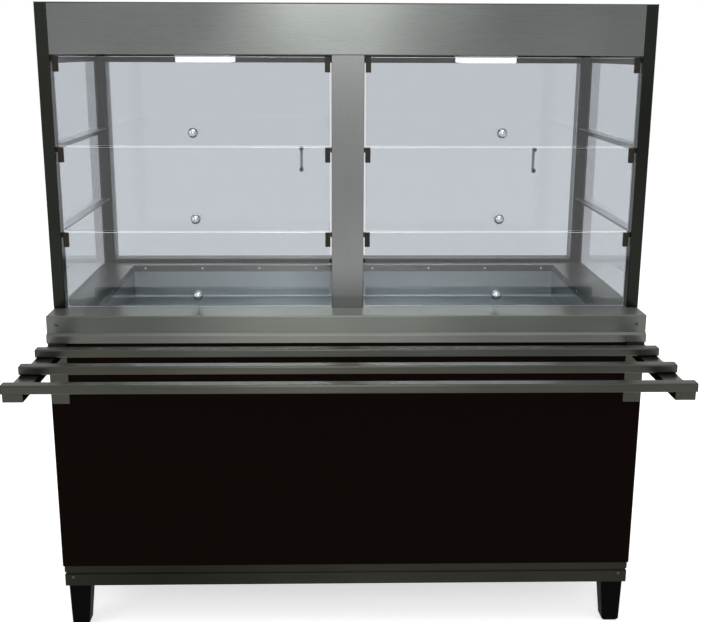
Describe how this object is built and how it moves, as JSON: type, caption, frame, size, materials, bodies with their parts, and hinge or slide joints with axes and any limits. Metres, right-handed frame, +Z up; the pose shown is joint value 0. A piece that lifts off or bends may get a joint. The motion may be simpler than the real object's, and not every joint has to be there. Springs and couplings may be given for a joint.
{
  "type": "refrigerated display case",
  "caption": "Self-service refrigerated counter: cold well under a glazed case with lift-up front flaps, rear sliding doors, lamps, shelf rails and a tray slide, on a black base.",
  "frame": {"origin": "on the floor, under the centre of the whole case's bounding box", "axes": "+Z up, -Y towards the customers with the tray slide, +X to the right seen from the front"},
  "size_m": [1.5, 1.137, 1.612],
  "materials": {
    "brushed_steel": "satin brushed stainless sheet",
    "dark_steel": "dark brushed stainless",
    "polished_steel": "polished stainless tube",
    "black_panel": "satin black coated sheet",
    "plinth_steel": "brushed stainless skirting",
    "black_plastic": "matt black moulded plastic",
    "clear_pane": "clear polished pane",
    "chrome": "bright chrome",
    "opal": "opal lamp diffuser",
    "white_paint": "white coated lamp base",
    "copper": "drawn copper tube",
    "foam": "rigid foam",
    "aluminium": "raw aluminium",
    "black_paint": "black coated steel"
  },
  "bodies": {
    "case": {"base_floor": "brushed_steel", "casing_screws": "polished_steel", "ceiling_panel": "brushed_steel", "centre_post": "brushed_steel", "cold_well": "brushed_steel", "compressor": "black_paint", "condenser": "aluminium", "deck_rim": "brushed_steel", "deck_top": "brushed_steel", "evaporator_coil": "copper", "fan_motor": "black_paint", "flap_pivot_bushes": "black_plastic", "front_panel": "black_panel", "header_fascia": "brushed_steel", "lamp_diffuser_left": "opal", "lamp_diffuser_right": "opal", "lamp_housing_left": "white_paint", "lamp_housing_right": "white_paint", "leg_front_left": "black_plastic", "leg_front_right": "black_plastic", "leg_rear_left": "black_plastic", "leg_rear_right": "black_plastic", "plinth_trim": "plinth_steel", "rear_bottom_track": "dark_steel", "rear_post_left": "dark_steel", "rear_post_right": "dark_steel", "rear_service_panel": "brushed_steel", "rear_top_track": "dark_steel", "roof_panel": "brushed_steel", "shelf_rails_left": "brushed_steel", "shelf_rails_right": "brushed_steel", "side_pane_left": "clear_pane", "side_pane_right": "clear_pane", "side_panel_left": "black_panel", "side_panel_right": "black_panel", "tray_bracket_left": "brushed_steel", "tray_bracket_right": "brushed_steel", "tray_rail_caps": "black_plastic", "tray_rails": "polished_steel", "upright_left": "dark_steel", "upright_right": "dark_steel", "well_insulation": "foam", "well_rivets": "polished_steel"},
    "flap_upper_left": {"flap_upper_left": "clear_pane", "flap_upper_left_fittings": "chrome"},
    "flap_upper_right": {"flap_upper_right": "clear_pane", "flap_upper_right_fittings": "chrome"},
    "flap_middle_left": {"flap_middle_left": "clear_pane", "flap_middle_left_fittings": "chrome"},
    "flap_middle_right": {"flap_middle_right": "clear_pane", "flap_middle_right_fittings": "chrome"},
    "flap_lower_left": {"flap_lower_left": "clear_pane", "flap_lower_left_fittings": "chrome"},
    "flap_lower_right": {"flap_lower_right": "clear_pane", "flap_lower_right_fittings": "chrome"},
    "rear_door_left": {"rear_door_left": "clear_pane", "rear_door_left_handle": "chrome"},
    "rear_door_right": {"rear_door_right": "clear_pane", "rear_door_right_handle": "chrome"},
    "fan": {"fan_blade": "aluminium"}
  },
  "joints": [
    {"name": "flap_upper_left_hinge", "type": "hinge", "parent": "case", "child": "flap_upper_left", "pos_m": [-0.38, -0.084, 1.48], "axis": [-1, 0, 0], "range_deg": [0, 85]},
    {"name": "flap_upper_right_hinge", "type": "hinge", "parent": "case", "child": "flap_upper_right", "pos_m": [0.38, -0.084, 1.48], "axis": [-1, 0, 0], "range_deg": [0, 85]},
    {"name": "flap_middle_left_hinge", "type": "hinge", "parent": "case", "child": "flap_middle_left", "pos_m": [-0.38, -0.084, 1.261], "axis": [-1, 0, 0], "range_deg": [0, 85]},
    {"name": "flap_middle_right_hinge", "type": "hinge", "parent": "case", "child": "flap_middle_right", "pos_m": [0.38, -0.084, 1.261], "axis": [-1, 0, 0], "range_deg": [0, 85]},
    {"name": "flap_lower_left_hinge", "type": "hinge", "parent": "case", "child": "flap_lower_left", "pos_m": [-0.38, -0.084, 1.048], "axis": [-1, 0, 0], "range_deg": [0, 85]},
    {"name": "flap_lower_right_hinge", "type": "hinge", "parent": "case", "child": "flap_lower_right", "pos_m": [0.38, -0.084, 1.048], "axis": [-1, 0, 0], "range_deg": [0, 85]},
    {"name": "rear_door_left_slide", "type": "slide", "parent": "case", "child": "rear_door_left", "axis": [1, 0, 0], "range_m": [0, 0.69]},
    {"name": "rear_door_right_slide", "type": "slide", "parent": "case", "child": "rear_door_right", "axis": [-1, 0, 0], "range_m": [0, 0.69]},
    {"name": "fan_spin", "type": "hinge", "parent": "case", "child": "fan", "pos_m": [0.43, 0.4485, 0.284], "axis": [0, 1, 0], "continuous": true}
  ]
}
